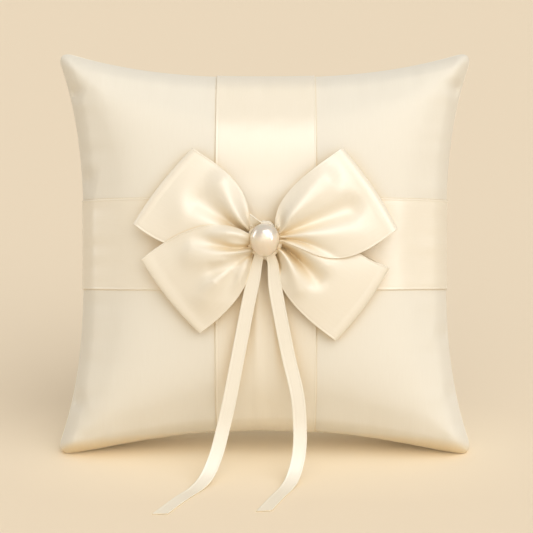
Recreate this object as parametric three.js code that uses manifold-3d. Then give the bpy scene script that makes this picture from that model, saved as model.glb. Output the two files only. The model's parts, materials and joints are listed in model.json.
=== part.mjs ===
// Ring bearer pillow: a square stuffed satin cushion crossed by two ribbon bands, with a four-loop
// bow, a pearl bead and two narrow tie ribbons. Millimetres, +Z up, front towards -Y.
// The origin is on the ground, in the middle of the whole object seen from above.
import * as THREE from 'three';
import { mergeVertices } from 'three/addons/utils/BufferGeometryUtils.js';
import Module from 'manifold-3d';

const wasm = await Module();
wasm.setup();
const { Manifold, Mesh: SolidMesh } = wasm;
const { clamp, degToRad, lerp, smoothstep } = THREE.MathUtils;

// ---- Driving dimensions ----
const LEAN = degToRad(14); // the cushion leans back by this much
const SINK = 1.2; // how far the soft lower corners settle into the ground plane

const CUSHION = {
  halfWidth: 102.5, // middle to corner, sideways
  halfHeight: 99.75, // middle to corner, upwards
  sideInset: 11.5, // how far each side curves in between its corners
  insetPower: 1.2,
  cornerCut: 1.8, // how far the blunt corner tips are pulled in
  cornerPower: 24,
  bulge: 42, // crown of each face above the seam plane
  backFlat: 38, // the back crown is pressed flat at this height
  bulgePower: 0.55,
  cells: 24,
};
const SEAM_GAP = 0.2; // each panel stops this far from the seam plane
const PANEL = 0.8; // satin with its interlining
const SEAM_THREAD_INSET = 1.4;
const FILL_INSET = 3.6;

const BAND = { thickness: 0.6, horizontalWidth: 44, verticalWidth: 48.5, endDepth: 3 };
const CROSSING_HEIGHT = 103.8; // middle of the horizontal band
const BOW_HEIGHT = 105.5; // middle of the bow, above the lower corners along the face
const FIT = 0.3; // clearance between pieces that touch on the real object

const LOOP = { thickness: 0.7, halfGap: 1.1, foldShare: 0.04, foldBow: 1.5, frontPuff: 5 };
const GATHER = { width: 10, length: 9, pleats: 3, pleatDepth: 0.5, thickness: 1.4 };
const BACK_GATHER_DEPTH = 46.4;
const FRONT_GATHER_DEPTH = 49;
const KNOT = { halfWidth: 8.1, halfHeight: 9.2, back: 51.4, front: 57.2, rounding: 1.6 };
const PEARL = { radius: 7.1, halfLength: 8.2, depth: 60.2, taper: 0.12, hole: 0.8 };
const TAIL = { width: 6.6, thickness: 0.6, bendShare: 0.6, gap: 0.9, endSlant: 0.5 };

const THREAD = { sewing: 0.3, stitch: 0.25, tack: 0.35, tackHole: 1, pearl: 0.3 };

// Each loop has an upper and a lower edge, drawn from the knot to a corner of its outer fold as a
// cubic curve. Points are (sideways, upwards) from the bow's middle, on the cushion's face.
const LOOPS = {
  upper_left_loop: {
    upper: [[-6.7, 5], [-7, 20], [-11, 30], [-34.2, 43.2]],
    lower: [[-9, -2], [-25, -8], [-45, -7], [-61.4, 7.2]],
    over: false,
  },
  lower_right_loop: {
    upper: [[7, -1], [20, 2], [38, 0], [58.2, -12.9]],
    lower: [[3.8, -8.5], [5.8, -20], [9.6, -31], [32.5, -47.1]],
    over: false,
  },
  lower_left_loop: {
    upper: [[-7.1, 3], [-18, 9], [-32, 12], [-58.3, -8.8]],
    lower: [[-7.6, -8.2], [-10.2, -17], [-13.4, -29], [-30.5, -43.4]],
    over: true,
  },
  upper_right_loop: {
    upper: [[5.2, 6], [4.5, 19], [14, 28], [35.8, 42.4]],
    lower: [[7.4, -1.4], [20, -14], [42, -11], [62.5, 5.4]],
    over: true,
  },
};
// How far the middle of a loop stands off the seam plane, at the knot and at its outer fold.
const UNDER_LOOP_DEPTH = { knot: 47.5, fold: 42.5, tilt: -1.5 };
const OVER_LOOP_DEPTH = { knot: 53, fold: 45.5, tilt: 1.5 };

// Middle line of each tie ribbon tail, from the ground below the middle of the cushion's lower seam.
const LEFT_TAIL = [
  [-3.7, -28.9, 103.2], [-5, -29.6, 97], [-7.3, -30.6, 87], [-12, -33.2, 63],
  [-16.8, -36, 38], [-20, -38, 24], [-23.2, -42.5, 12.5], [-27.4, -49.5, 4.2],
  [-32.2, -58, 0.9], [-39.6, -72, 0.45], [-48.2, -92, 0.45],
];
const RIGHT_TAIL = [
  [3.9, -28.9, 103.2], [4.5, -29.6, 97], [5.8, -30.6, 87], [11, -33.2, 60],
  [15.6, -36, 40], [16.9, -38, 24], [16.4, -42.5, 12.5], [13.8, -49.5, 4.2],
  [10.6, -57, 0.9], [5.6, -70, 0.45], [-0.4, -88, 0.45],
];

// The knot's standing corner: right and up of the bow's middle, clockwise from its top left.
const PEAK = {
  corners: [[-6.9, 12.6], [-1.9, 9.9], [-5.6, 8.4], [-7.3, 7.6]],
  thickness: 0.5,
  bulge: 0.5,
};

// ---- Materials ----
function material(colour, roughness, metalness = 0) {
  return new THREE.MeshStandardMaterial({ color: colour, roughness, metalness });
}
const coverSatin = () => material(0xf6ecd9, 0.6);
const ribbonSatin = () => material(0xf8ecd2, 0.35);
const pearlLustre = () => material(0xf3e6cf, 0.18, 0.1);
const sewingThread = () => material(0xf3e7cf, 0.7);
const polyesterFill = () => material(0xf7f5f0, 0.95);

// ---- Solids and meshes ----
// A closed geometry whose faces point out, whichever way round they were listed.
function closedGeometry(vertices, triangles) {
  let volume = 0;
  for (const [a, b, c] of triangles) {
    volume += vertices[a].dot(vertices[b].clone().cross(vertices[c]));
  }
  const outward = volume < 0 ? triangles.map(([a, b, c]) => [a, c, b]) : triangles;
  const geometry = new THREE.BufferGeometry().setFromPoints(vertices);
  return geometry.setIndex(outward.flat());
}

// A solid between two sheets, each sampled on the same grid of rows and columns.
function sheetPairGeometry(rows, columns, first, second) {
  const vertices = [];
  for (const sheet of [first, second]) {
    for (let i = 0; i <= rows; i++) {
      for (let j = 0; j <= columns; j++) vertices.push(sheet(i / rows, j / columns));
    }
  }
  const index = (side, i, j) => (side * (rows + 1) + i) * (columns + 1) + j;
  const triangles = [];
  const quad = (a, b, c, d) => triangles.push([a, b, c], [a, c, d]);
  for (let i = 0; i < rows; i++) {
    for (let j = 0; j < columns; j++) {
      quad(index(0, i, j), index(0, i + 1, j), index(0, i + 1, j + 1), index(0, i, j + 1));
      quad(index(1, i, j), index(1, i, j + 1), index(1, i + 1, j + 1), index(1, i + 1, j));
    }
    quad(index(0, i + 1, 0), index(0, i, 0), index(1, i, 0), index(1, i + 1, 0));
    quad(index(0, i, columns), index(0, i + 1, columns), index(1, i + 1, columns), index(1, i, columns));
  }
  for (let j = 0; j < columns; j++) {
    quad(index(0, 0, j), index(0, 0, j + 1), index(1, 0, j + 1), index(1, 0, j));
    quad(index(0, rows, j + 1), index(0, rows, j), index(1, rows, j), index(1, rows, j + 1));
  }
  return closedGeometry(vertices, triangles);
}

// A sheet of even thickness around a surface given as a function of two shares from 0 to 1.
function ribbonGeometry(rows, columns, surface, thickness) {
  const step = 1e-3;
  const normal = (s, t) => {
    const along = surface(Math.min(s + step, 1), t).sub(surface(Math.max(s - step, 0), t));
    const across = surface(s, Math.min(t + step, 1)).sub(surface(s, Math.max(t - step, 0)));
    return along.cross(across).normalize();
  };
  const offset = (amount) => (s, t) => surface(s, t).addScaledVector(normal(s, t), amount);
  return sheetPairGeometry(rows, columns, offset(thickness / 2), offset(-thickness / 2));
}

function threadGeometry(points, radius, steps, sides = 6) {
  const corners = [];
  for (let k = 0; k < sides; k++) {
    const angle = (2 * Math.PI * k) / sides;
    corners.push(new THREE.Vector2(radius * Math.cos(angle), radius * Math.sin(angle)));
  }
  const path = new THREE.CatmullRomCurve3(points, false, 'centripetal');
  const options = { steps, extrudePath: path, bevelEnabled: false };
  return new THREE.ExtrudeGeometry(new THREE.Shape(corners), options);
}

function solidOf(geometry) {
  const plain = new THREE.BufferGeometry();
  plain.setAttribute('position', geometry.getAttribute('position'));
  plain.setIndex(geometry.index);
  const merged = mergeVertices(plain, 1e-4);
  return new Manifold(new SolidMesh({
    numProp: 3,
    vertProperties: new Float32Array(merged.attributes.position.array),
    triVerts: new Uint32Array(merged.index.array),
  }));
}

function geometryOf(solid) {
  const { vertProperties, triVerts } = solid.getMesh();
  const geometry = new THREE.BufferGeometry();
  geometry.setAttribute('position', new THREE.BufferAttribute(new Float32Array(vertProperties), 3));
  return geometry.setIndex(new THREE.BufferAttribute(new Uint32Array(triVerts), 1));
}

function cut(geometry, cutters) {
  let solid = solidOf(geometry);
  for (const cutter of cutters) solid = solid.subtract(solidOf(cutter));
  return geometryOf(solid);
}

function mesh(name, geometry, meshMaterial) {
  const made = new THREE.Mesh(geometry, meshMaterial);
  made.name = name;
  return made;
}

// ---- The cushion, in its own frame: x sideways, y through its thickness, z up its face ----
// The shares u (sideways) and v (upwards) run from -1 to 1 between the seams.
function outlinePoint(u, v, inset = 0) {
  const { halfWidth, halfHeight, sideInset, insetPower, cornerCut, cornerPower } = CUSHION;
  const shrink = inset + cornerCut * Math.abs(u * v) ** cornerPower;
  const width = halfWidth - sideInset * (1 - v * v) ** insetPower - shrink;
  const height = halfHeight - sideInset * (1 - u * u) ** insetPower - shrink;
  return [u * width, halfHeight + v * height];
}

const bulge = (u, v, crown) => crown * ((1 - u * u) * (1 - v * v)) ** CUSHION.bulgePower;

// The shares of the point of the face above (x, z).
function shares(x, z) {
  let u = 0;
  let v = 0;
  for (let pass = 0; pass < 25; pass++) {
    const width = outlinePoint(1, v)[0];
    const height = outlinePoint(u, 1)[1] - CUSHION.halfHeight;
    u = clamp(x / width, -1, 1);
    v = clamp((z - CUSHION.halfHeight) / height, -1, 1);
  }
  return [u, v];
}

// The lower corners settle flat on the ground, and what lies inside them stays that much higher.
const cushionFrame = new THREE.Matrix4().makeRotationX(-LEAN).setPosition(0, 0, -SINK);
const cushionFrameInverse = cushionFrame.clone().invert();
function settled(point, clearance) {
  point.applyMatrix4(cushionFrame);
  point.z = Math.max(point.z, clearance);
  return point.applyMatrix4(cushionFrameInverse);
}

// Turns even steps into steps that bunch up towards the seams, where the bulge curves most.
const seamward = (share) => Math.sin((share - 0.5) * Math.PI);

function coverSheet(front, inset) {
  const highest = front ? CUSHION.bulge : CUSHION.backFlat;
  return (i, j) => {
    const u = seamward(i);
    const v = seamward(j);
    const [x, z] = outlinePoint(u, v, inset);
    const depth = Math.min(bulge(u, v, CUSHION.bulge - inset), highest - inset) + SEAM_GAP;
    return settled(new THREE.Vector3(x, front ? -depth : depth, z), inset);
  };
}

function coverPanel(front, holes) {
  const { cells } = CUSHION;
  const shell = sheetPairGeometry(cells, cells, coverSheet(front, 0), coverSheet(front, PANEL));
  return cut(shell, holes);
}

function fibreFill(pocket) {
  const { cells } = CUSHION;
  const [front, back] = [true, false].map((isFront) => coverSheet(isFront, FILL_INSET));
  return cut(sheetPairGeometry(cells, cells, front, back), [pocket]);
}

function seamThread() {
  const steps = 24;
  const corners = [[-1, -1], [1, -1], [1, 1], [-1, 1]];
  const points = [];
  corners.forEach(([u0, v0], side) => {
    const [u1, v1] = corners[(side + 1) % corners.length];
    for (let k = 0; k < steps; k++) {
      const way = (1 + seamward(k / steps)) / 2;
      const [x, z] = outlinePoint(lerp(u0, u1, way), lerp(v0, v1, way), SEAM_THREAD_INSET);
      points.push(settled(new THREE.Vector3(x, 0, z), SEAM_THREAD_INSET));
    }
  });
  const path = new THREE.CatmullRomCurve3(points, true, 'centripetal');
  return new THREE.TubeGeometry(path, steps * corners.length, THREAD.sewing, 5, true);
}

// Ladder stitches that close the stuffing opening in the middle of the lower seam.
function closingStitch() {
  const halfOpening = 35;
  const stitches = 14;
  const reach = 1.3;
  const points = [];
  for (let k = 0; k <= stitches; k++) {
    const x = lerp(-halfOpening, halfOpening, k / stitches);
    const seam = outlinePoint(x / CUSHION.halfWidth, -1)[1];
    points.push(new THREE.Vector3(x, k % 2 ? reach : -reach, seam - FIT - THREAD.stitch));
  }
  return threadGeometry(points, THREAD.stitch, stitches * 3, 5);
}

// ---- Ribbon bands over the front ----
// A point off the front face by a given height, along the face's normal.
function offFront(x, z, height) {
  const step = 0.05;
  const face = (px, pz) => {
    const [u, v] = shares(px, pz);
    return new THREE.Vector3(px, -bulge(u, v, CUSHION.bulge) - SEAM_GAP, pz);
  };
  const across = face(x + step, z).sub(face(x - step, z));
  const up = face(x, z + step).sub(face(x, z - step));
  return face(x, z).addScaledVector(across.cross(up).normalize(), height);
}

// How far from the middle a band ends: where the face has dropped to the given depth.
const bandReach = Math.sqrt(1 - (BAND.endDepth / CUSHION.bulge) ** (1 / CUSHION.bulgePower));

function bandGeometry(width, place, height, holes) {
  const surface = (way, side) => {
    const [x, z] = place(bandReach * seamward(way), (side - 0.5) * width);
    return offFront(x, z, height(z));
  };
  return cut(ribbonGeometry(32, 6, surface, BAND.thickness), holes);
}

const bandHeight = FIT + BAND.thickness / 2;

function horizontalBand(holes) {
  const place = (reach, across) => {
    const z = CROSSING_HEIGHT + across;
    return [outlinePoint(reach, shares(0, z)[1])[0], z];
  };
  return bandGeometry(BAND.horizontalWidth, place, () => bandHeight, holes);
}

// The vertical band lies over the horizontal one, and steps down to the cushion on both sides of it.
function verticalBand(holes) {
  const edge = BAND.horizontalWidth / 2;
  const place = (reach, across) => [across, outlinePoint(shares(across, CUSHION.halfHeight)[0], reach)[1]];
  const height = (z) => {
    const clear = smoothstep(Math.abs(z - CROSSING_HEIGHT), edge + 1, edge + 9);
    return bandHeight + (BAND.thickness + 2 * FIT) * (1 - clear);
  };
  return bandGeometry(BAND.verticalWidth, place, height, holes);
}

// ---- The bow ----
const bowPoint = (x, depth, up) => new THREE.Vector3(x, -depth, BOW_HEIGHT + up);

function cubic([a, b, c, d], t) {
  const s = 1 - t;
  const mix = (k) => s ** 3 * a[k] + 3 * s * s * t * b[k] + 3 * s * t * t * c[k] + t ** 3 * d[k];
  return new THREE.Vector2(mix(0), mix(1));
}

// The middle surface of a folded loop: out along the front layer, round the fold and back behind.
function loopSurface({ upper, lower, over }) {
  const { halfGap, foldShare, foldBow, frontPuff } = LOOP;
  const depth = over ? OVER_LOOP_DEPTH : UNDER_LOOP_DEPTH;
  const foldStart = 0.42;
  const foldEnd = 1 - foldStart;
  const outward = cubic(upper, 1).add(cubic(lower, 1)).normalize();
  // Which edge lies over, or under, the neighbouring loop: 1 for the upper edge, -1 for the lower.
  const sharedEdge = outward.y > 0 ? -1 : 1;
  return (way, side) => {
    const turn = Math.PI / 2 - Math.PI * clamp((way - foldStart) / (foldEnd - foldStart), 0, 1);
    let along = 1 - foldShare + foldShare * Math.cos(turn);
    if (way < foldStart) along = (1 - foldShare) * (way / foldStart);
    if (way > foldEnd) along = (1 - foldShare) * ((1 - way) / (1 - foldEnd));
    const across = 2 * side - 1;
    const crown = 1 - across * across;
    const place = cubic(lower, along).lerp(cubic(upper, along), side);
    place.addScaledVector(outward, foldBow * crown * along ** 4);
    const shared = (1 + across * sharedEdge) / 2;
    const lift = Math.sin(Math.PI * along);
    const middle = lerp(depth.knot, depth.fold, along ** 1.6) + depth.tilt * shared * lift;
    const puff = frontPuff * lift ** 0.7 * Math.sqrt(crown) * (over ? 1 : 1.3 * (1 - shared));
    const layer = Math.sin(turn);
    return bowPoint(place.x, middle + layer * halfGap + Math.max(layer, 0) * puff, place.y);
  };
}

function ellipticCylinder(halfWidth, halfHeight, back, front) {
  const cylinder = new THREE.CylinderGeometry(1, 1, 1, 32);
  cylinder.scale(halfWidth, front - back, halfHeight);
  const middle = bowPoint(0, (back + front) / 2, 0);
  return cylinder.translate(middle.x, middle.y, middle.z);
}

function bowLoop(loop) {
  const room = 1.3; // the loops start this far outside the knot
  const core = ellipticCylinder(KNOT.halfWidth + room, KNOT.halfHeight + room, 35, 70);
  return cut(ribbonGeometry(28, 6, loopSurface(loop), LOOP.thickness), [core]);
}

// The pleated middle of one bow ribbon, lying along the given slope across the cushion's face.
function gather(slope, depth, holes) {
  const { width, length, pleats, pleatDepth, thickness } = GATHER;
  const along = new THREE.Vector2(Math.cos(slope), Math.sin(slope));
  const across = new THREE.Vector2(-along.y, along.x);
  const surface = (way, side) => {
    const reach = (way - 0.5) * length;
    const offset = (side - 0.5) * width;
    const wave = pleatDepth * Math.cos(2 * Math.PI * pleats * side);
    return bowPoint(along.x * reach + across.x * offset, depth + wave, along.y * reach + across.y * offset);
  };
  return cut(ribbonGeometry(4, 8 * pleats, surface, thickness - 2 * pleatDepth), holes);
}

// A thread wound three times round both gathers.
function bindingThread() {
  const turns = 3;
  const perTurn = 20;
  const gathersDepth = FRONT_GATHER_DEPTH - BACK_GATHER_DEPTH + GATHER.thickness;
  const halfDepth = gathersDepth / 2 + 2 * FIT + THREAD.stitch;
  const halfHeight = Math.hypot(GATHER.width, GATHER.length) / 2 + FIT + THREAD.stitch;
  const middle = (FRONT_GATHER_DEPTH + BACK_GATHER_DEPTH) / 2;
  const squarish = (value) => Math.sign(value) * Math.abs(value) ** 0.4;
  const points = [];
  for (let k = 0; k <= turns * perTurn; k++) {
    const angle = (2 * Math.PI * k) / perTurn;
    const x = lerp(-1.4, 1.4, k / (turns * perTurn));
    const depth = middle + halfDepth * squarish(Math.cos(angle));
    points.push(bowPoint(x, depth, halfHeight * squarish(Math.sin(angle))));
  }
  return threadGeometry(points, THREAD.stitch, turns * perTurn, 5);
}

// One long stitch holds the bow down: through both gathers and both bands and into the cushion.
const TACK = { x: 3, spread: 2, front: 50.7, back: 38 };

function tackThread() {
  const { x, spread, front, back } = TACK;
  const leg = (up) => [bowPoint(x, front, up), bowPoint(x, back + 1.5, up)];
  const [topIn, topOut] = leg(spread);
  const [bottomIn, bottomOut] = leg(-spread);
  const points = [topIn, topOut, bowPoint(x, back, 0), bottomOut, bottomIn];
  return threadGeometry(points, THREAD.tack, 28);
}

function tackHoles() {
  return [TACK.spread, -TACK.spread].map((up) => {
    const hole = new THREE.CylinderGeometry(THREAD.tackHole, THREAD.tackHole, 30, 12);
    const middle = bowPoint(TACK.x, 48, up);
    return hole.translate(middle.x, middle.y, middle.z);
  });
}

function tackPocket() {
  const pocket = new THREE.CylinderGeometry(3.4, 3.4, 12, 24);
  const middle = bowPoint(TACK.x, TACK.back + 5, 0);
  return pocket.translate(middle.x, middle.y, middle.z);
}

// ---- Knot and pearl ----
// The egg-shaped outline of the pearl about its own upright axis, narrower towards the bottom.
function pearlOutline(grow, hole) {
  const { radius, halfLength, taper } = PEARL;
  const half = halfLength + grow;
  const steps = 16;
  const points = [];
  for (let k = 0; k <= steps; k++) {
    const angle = -Math.PI / 2 + (Math.PI * k) / steps;
    const up = Math.sin(angle);
    const wide = (radius + grow) * Math.cos(angle) * (1 + taper * up);
    if (wide > hole) points.push(new THREE.Vector2(wide, half * up));
  }
  return [new THREE.Vector2(hole, points[0].y), ...points, new THREE.Vector2(hole, points.at(-1).y)];
}

function pearlSolid(grow, hole) {
  const outline = pearlOutline(grow, hole);
  if (hole) outline.push(outline[0].clone());
  const bead = new THREE.LatheGeometry(outline, 32).rotateX(Math.PI / 2);
  const middle = bowPoint(0, PEARL.depth, 0);
  return bead.translate(middle.x, middle.y, middle.z);
}

// The tie ribbon wrapped over the middle of the bow, with a hollow that the pearl sits in.
function knotWrap() {
  const { halfWidth, halfHeight, back, front, rounding } = KNOT;
  const half = (front - back) / 2;
  const outline = [new THREE.Vector2(0, -half)];
  const steps = 5;
  for (const end of [-1, 1]) {
    for (let k = 0; k <= steps; k++) {
      const angle = (Math.PI / 2) * (end < 0 ? k / steps - 1 : k / steps);
      const bend = new THREE.Vector2(Math.cos(angle), Math.sin(angle)).multiplyScalar(rounding);
      outline.push(new THREE.Vector2(halfWidth - rounding + bend.x, end * (half - rounding) + bend.y));
    }
  }
  outline.push(new THREE.Vector2(0, half));
  const pad = new THREE.LatheGeometry(outline, 40).scale(1, 1, halfHeight / halfWidth);
  const middle = bowPoint(0, (back + front) / 2, 0);
  return cut(pad.translate(middle.x, middle.y, middle.z), [pearlSolid(FIT, 0)]);
}

// The corner of the tie ribbon that stands up beside the top of the pearl.
function knotPeak() {
  const surface = (way, side) => {
    const corners = PEAK.corners.map(([right, up]) => new THREE.Vector2(right, up));
    const [topLeft, topRight, footRight, footLeft] = corners;
    const place = footLeft.lerp(footRight, way).lerp(topLeft.lerp(topRight, way), side);
    const rise = PEAK.bulge * Math.sin(Math.PI * way);
    return bowPoint(place.x, KNOT.front + FIT + PEAK.thickness + rise, place.y);
  };
  return ribbonGeometry(5, 3, surface, PEAK.thickness);
}

// The thread the pearl hangs on: through its hole, then back past the knot at both ends.
function pearlThread() {
  const past = KNOT.halfHeight + FIT + THREAD.pearl;
  const halfPath = [[KNOT.back, past], [KNOT.front, past], [PEARL.depth, PEARL.halfLength]];
  const upper = halfPath.map(([depth, up]) => bowPoint(0, depth, up));
  const lower = halfPath.map(([depth, up]) => bowPoint(0, depth, -up)).reverse();
  return threadGeometry([...upper, bowPoint(0, PEARL.depth, 0), ...lower], THREAD.pearl, 40);
}

// ---- Tie ribbon tails ----
// One piece of a tail, between two shares of its length. Its width stays level.
function tailPiece(path, from, to, slant) {
  const surface = (way, side) => {
    const across = (side - 0.5) * TAIL.width;
    const share = lerp(from, to, way);
    const run = path.getTangentAt(share);
    const width = new THREE.Vector3(1, 0, 0).addScaledVector(run, -run.x).normalize();
    const slip = slant * across * way ** 4;
    return path.getPointAt(share).addScaledVector(width, across).addScaledVector(run, slip);
  };
  const rows = Math.round((to - from) * 34);
  return ribbonGeometry(rows, 2, surface, TAIL.thickness);
}

// A tail is two stiff pieces with a small gap at the bend, where the real ribbon flexes.
function tail(name, line, slant) {
  const path = new THREE.CatmullRomCurve3(line.map((p) => new THREE.Vector3(...p)), false, 'centripetal');
  const halfGap = TAIL.gap / 2 / path.getLength();
  return [
    mesh(name, tailPiece(path, 0, TAIL.bendShare - halfGap, 0), ribbonSatin()),
    mesh(`${name}_end`, tailPiece(path, TAIL.bendShare + halfGap, 1, slant), ribbonSatin()),
  ];
}

// ---- Assembly ----
function cushionParts() {
  const holes = tackHoles();
  const backSlope = Math.atan2(-24, 52);
  const parts = [
    mesh('front_panel', coverPanel(true, holes), coverSatin()),
    mesh('back_panel', coverPanel(false, []), coverSatin()),
    mesh('fibre_fill', fibreFill(tackPocket()), polyesterFill()),
    mesh('edge_seam_thread', seamThread(), sewingThread()),
    mesh('closing_stitch', closingStitch(), sewingThread()),
    mesh('horizontal_band', horizontalBand(holes), ribbonSatin()),
    mesh('vertical_band', verticalBand(holes), ribbonSatin()),
    mesh('back_bow_gather', gather(backSlope, BACK_GATHER_DEPTH, holes), ribbonSatin()),
    mesh('front_bow_gather', gather(-backSlope, FRONT_GATHER_DEPTH, holes), ribbonSatin()),
    mesh('gather_binding_thread', bindingThread(), sewingThread()),
    mesh('bow_tack_thread', tackThread(), sewingThread()),
    mesh('tie_ribbon_knot', knotWrap(), ribbonSatin()),
    mesh('knot_peak', knotPeak(), ribbonSatin()),
    mesh('pearl', pearlSolid(0, PEARL.hole), pearlLustre()),
    mesh('pearl_thread', pearlThread(), sewingThread()),
  ];
  for (const [name, loop] of Object.entries(LOOPS)) {
    parts.push(mesh(name, bowLoop(loop), ribbonSatin()));
  }
  for (const part of parts) part.geometry.applyMatrix4(cushionFrame);
  return parts;
}

const group = new THREE.Group();
group.name = 'ring_bearer_pillow';
group.add(
  ...cushionParts(),
  ...tail('left_tail', LEFT_TAIL, -TAIL.endSlant),
  ...tail('right_tail', RIGHT_TAIL, -TAIL.endSlant),
);

const bounds = new THREE.Box3().setFromObject(group);
const middle = bounds.getCenter(new THREE.Vector3());
group.position.set(-middle.x, -middle.y, -bounds.min.z);

export default group;
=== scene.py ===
"""The look of a ring bearer pillow: satin cushion, ribbon bands, four-loop bow, pearl and tie ribbons.

Lengths are in millimetres in the cushion's own frame, which starts at the cushion's middle: right,
front (the height above the seam plane) and up along its face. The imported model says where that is.
"""
import json
import math

import bmesh
import bpy
import numpy as np
from mathutils import Matrix, Vector
from mathutils.bvhtree import BVHTree

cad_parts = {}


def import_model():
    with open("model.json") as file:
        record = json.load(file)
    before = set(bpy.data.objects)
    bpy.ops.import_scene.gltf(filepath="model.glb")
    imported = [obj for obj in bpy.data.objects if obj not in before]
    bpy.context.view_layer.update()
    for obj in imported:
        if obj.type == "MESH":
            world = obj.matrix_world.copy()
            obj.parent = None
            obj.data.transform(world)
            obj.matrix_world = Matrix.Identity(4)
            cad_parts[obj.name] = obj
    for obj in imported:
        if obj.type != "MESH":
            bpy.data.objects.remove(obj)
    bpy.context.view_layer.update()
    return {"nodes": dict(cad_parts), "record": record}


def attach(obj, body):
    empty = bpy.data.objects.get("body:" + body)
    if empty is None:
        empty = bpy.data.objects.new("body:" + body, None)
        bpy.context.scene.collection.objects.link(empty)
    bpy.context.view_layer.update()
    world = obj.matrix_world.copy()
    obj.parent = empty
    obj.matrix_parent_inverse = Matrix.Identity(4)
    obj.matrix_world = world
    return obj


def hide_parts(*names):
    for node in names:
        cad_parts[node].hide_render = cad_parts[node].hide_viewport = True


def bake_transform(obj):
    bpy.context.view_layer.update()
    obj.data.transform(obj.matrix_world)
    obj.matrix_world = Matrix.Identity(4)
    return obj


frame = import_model()

MM = 0.001

# ---- Driving dimensions ----
HALF_WIDTH = 104.8
HALF_HEIGHT = 101.6
SIDE_INSET = 14.4  # how far the left and right sides curve in between the corners
END_INSET = 14  # the same for the top and the bottom
FOOT_TO_MIDDLE = 99.75  # from the plain model's lower corners up to its middle, along the face
CROWN = 42
CROWN_POWER = 0.43
FULLNESS = 2.6  # above 2, the face is flatter in the middle and steeper at the seams
RIM = 0.955  # how far the face has come down, as a share, where it turns over to the seam
CORNER = 0.085  # share of a side's half that a rounded corner takes
BACK_FLAT = 38  # the back crown is flat at this height
SEAM_GAP = 0.2
PAD_CELLS = 44  # cells along a side while the cushion is inflated
COVER_CELLS = 150
FABRIC_EASE = 0.012  # share by which the fabric is larger than the form it is stuffed into
SWELL_CAP = 3

HORIZONTAL_BAND = {"width": 44, "middle": 4.05, "lift": 0.35}
VERTICAL_BAND = {"width": 48.5, "middle": 0.5, "lift": 0.35}
BAND_REACH = 0.997  # share of the way to the seams that the bands run
RIBBON = 0.45  # ribbon thickness

BOW_UP = 5.75  # the bow's middle, above the cushion's middle
BOW_DEPTH = 50  # the bow's middle, above the seam plane
BOW_RIBBON = 46  # width of the ribbon that the loops are folded from
FOLD_DEPTH = 1.2  # by which the heights of the loops' folds are multiplied
TURN = 0.05  # share of a loop's length that its outer fold takes
LOOP_GAP = 0.55  # between a loop and the one that lies over it
WAIST_RADIUS = 6.6
KNOT = {"width": 8.2, "height": 9.2, "depth": 50.8, "half_depth": 6}
PEARL = {"radius": 6.9, "half_length": 7.9, "depth": 60.2, "taper": 0.07}
TAIL = {"width": 6.6, "end_slant": -0.5, "bend_at": 0.6, "half_bend": 12}  # bend_at is a share
THREAD_RADIUS = {"seam": 0.3, "pearl": 0.25, "closing": 0.16}

# Where the cover is dented next to its side seams, right and up of the cushion's middle.
DENTS = ((-94.5, 79), (95, 80.5), (89, -41), (93.5, -70), (-93, -74), (-88, 36))

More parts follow.
